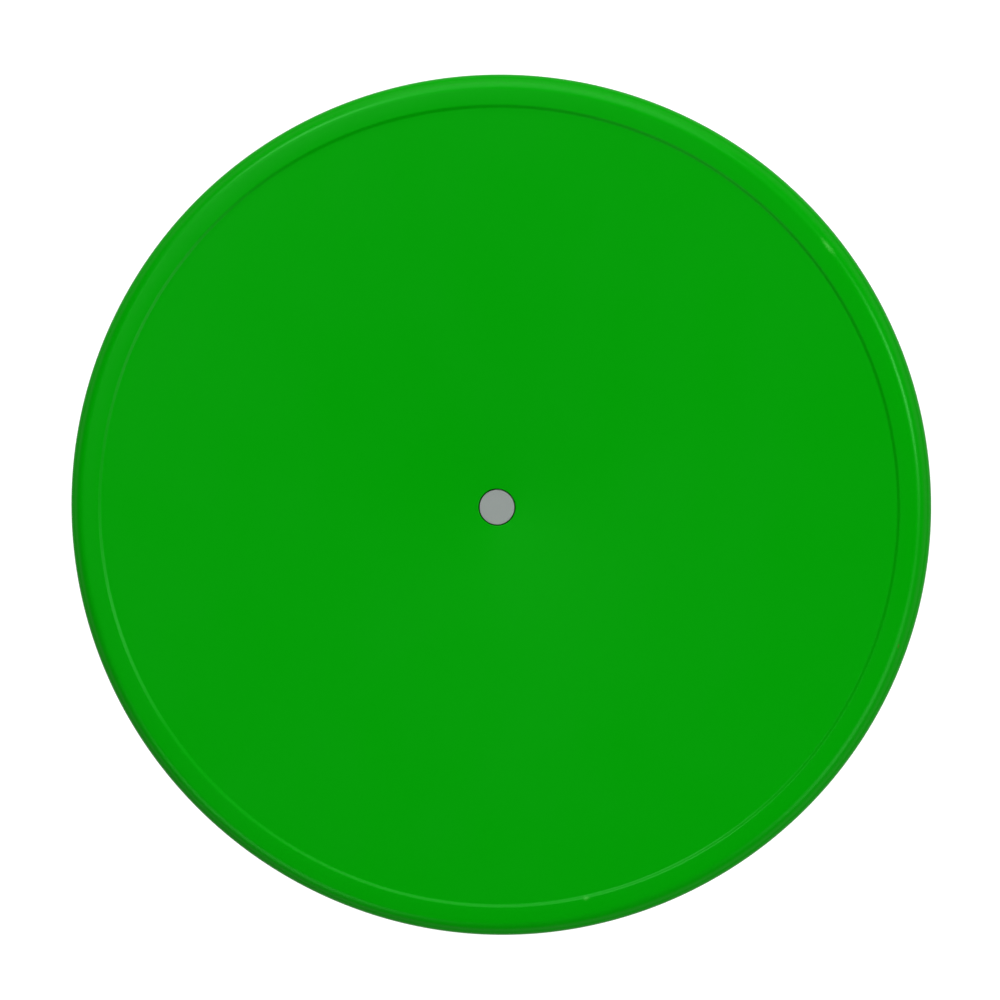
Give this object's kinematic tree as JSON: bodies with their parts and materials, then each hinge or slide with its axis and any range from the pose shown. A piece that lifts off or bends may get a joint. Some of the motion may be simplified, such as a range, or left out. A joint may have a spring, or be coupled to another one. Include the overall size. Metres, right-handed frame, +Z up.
{
  "type": "nest swing saucer seat",
  "caption": "Round moulded saucer seat for a nest swing, with a sunk panel, raised rim, steel frame inside, folding hanging rings under the rim and a flat centre cap.",
  "frame": {"origin": "on the ground under the seat's centre, with the seat lying on its base", "axes": "+Z up out of the seat's top face; +X and +Y each point at a hanging ring"},
  "size_m": [1, 1, 0.0685],
  "materials": {
    "seat_green": "fine-grained moulded polyethylene, saturated green all through",
    "base_green": "fine-grained moulded polyethylene, saturated green all through",
    "cap_grey": "smooth light grey moulded plastic",
    "cap_base_black": "black moulded plastic",
    "galvanised_steel": "hot-dip galvanised, dull grey with faint spangle",
    "ring_steel": "drawn round bar, satin",
    "zinc_plated_steel": "bright zinc plate"
  },
  "bodies": {
    "seat": {"seat_shell": "seat_green", "base_shell": "base_green", "frame_ring": "galvanised_steel", "spoke_1": "galvanised_steel", "spoke_2": "galvanised_steel", "spoke_3": "galvanised_steel", "spoke_4": "galvanised_steel", "hub_tube": "galvanised_steel", "hub_plate": "galvanised_steel", "pad_plate_1": "galvanised_steel", "pad_plate_2": "galvanised_steel", "pad_plate_3": "galvanised_steel", "pad_plate_4": "galvanised_steel", "ring_strap_1": "galvanised_steel", "ring_strap_2": "galvanised_steel", "ring_strap_3": "galvanised_steel", "ring_strap_4": "galvanised_steel", "strap_bolt_1_inner": "zinc_plated_steel", "strap_bolt_1_outer": "zinc_plated_steel", "strap_bolt_2_inner": "zinc_plated_steel", "strap_bolt_2_outer": "zinc_plated_steel", "strap_bolt_3_inner": "zinc_plated_steel", "strap_bolt_3_outer": "zinc_plated_steel", "strap_bolt_4_inner": "zinc_plated_steel", "strap_bolt_4_outer": "zinc_plated_steel", "strap_nut_1_inner": "zinc_plated_steel", "strap_nut_1_outer": "zinc_plated_steel", "strap_nut_2_inner": "zinc_plated_steel", "strap_nut_2_outer": "zinc_plated_steel", "strap_nut_3_inner": "zinc_plated_steel", "strap_nut_3_outer": "zinc_plated_steel", "strap_nut_4_inner": "zinc_plated_steel", "strap_nut_4_outer": "zinc_plated_steel", "shell_screw_1": "zinc_plated_steel", "shell_screw_2": "zinc_plated_steel", "shell_screw_3": "zinc_plated_steel", "shell_screw_4": "zinc_plated_steel", "shell_screw_5": "zinc_plated_steel", "shell_screw_6": "zinc_plated_steel", "shell_screw_7": "zinc_plated_steel", "shell_screw_8": "zinc_plated_steel", "hub_bolt": "zinc_plated_steel", "hub_washer_upper": "zinc_plated_steel", "hub_washer_lower": "zinc_plated_steel", "hub_nut": "zinc_plated_steel", "cap_base": "cap_base_black"},
    "ring_1": {"hanging_ring_1": "ring_steel"},
    "ring_2": {"hanging_ring_2": "ring_steel"},
    "ring_3": {"hanging_ring_3": "ring_steel"},
    "ring_4": {"hanging_ring_4": "ring_steel"},
    "cap": {"hub_cap": "cap_grey"}
  },
  "joints": [
    {"name": "ring_1_fold", "type": "hinge", "parent": "seat", "child": "ring_1", "pos_m": [0.45504, 0, 0.012], "axis": [0, -1, 0], "range_deg": [-5, 180]},
    {"name": "ring_2_fold", "type": "hinge", "parent": "seat", "child": "ring_2", "pos_m": [0, 0.45504, 0.012], "axis": [1, 0, 0], "range_deg": [-5, 180]},
    {"name": "ring_3_fold", "type": "hinge", "parent": "seat", "child": "ring_3", "pos_m": [-0.45504, 0, 0.012], "axis": [0, 1, 0], "range_deg": [-5, 180]},
    {"name": "ring_4_fold", "type": "hinge", "parent": "seat", "child": "ring_4", "pos_m": [0, -0.45504, 0.012], "axis": [-1, 0, 0], "range_deg": [-5, 180]},
    {"name": "cap_lift", "type": "slide", "parent": "seat", "child": "cap", "axis": [0, 0, 1], "range_m": [0, 0.03]}
  ]
}
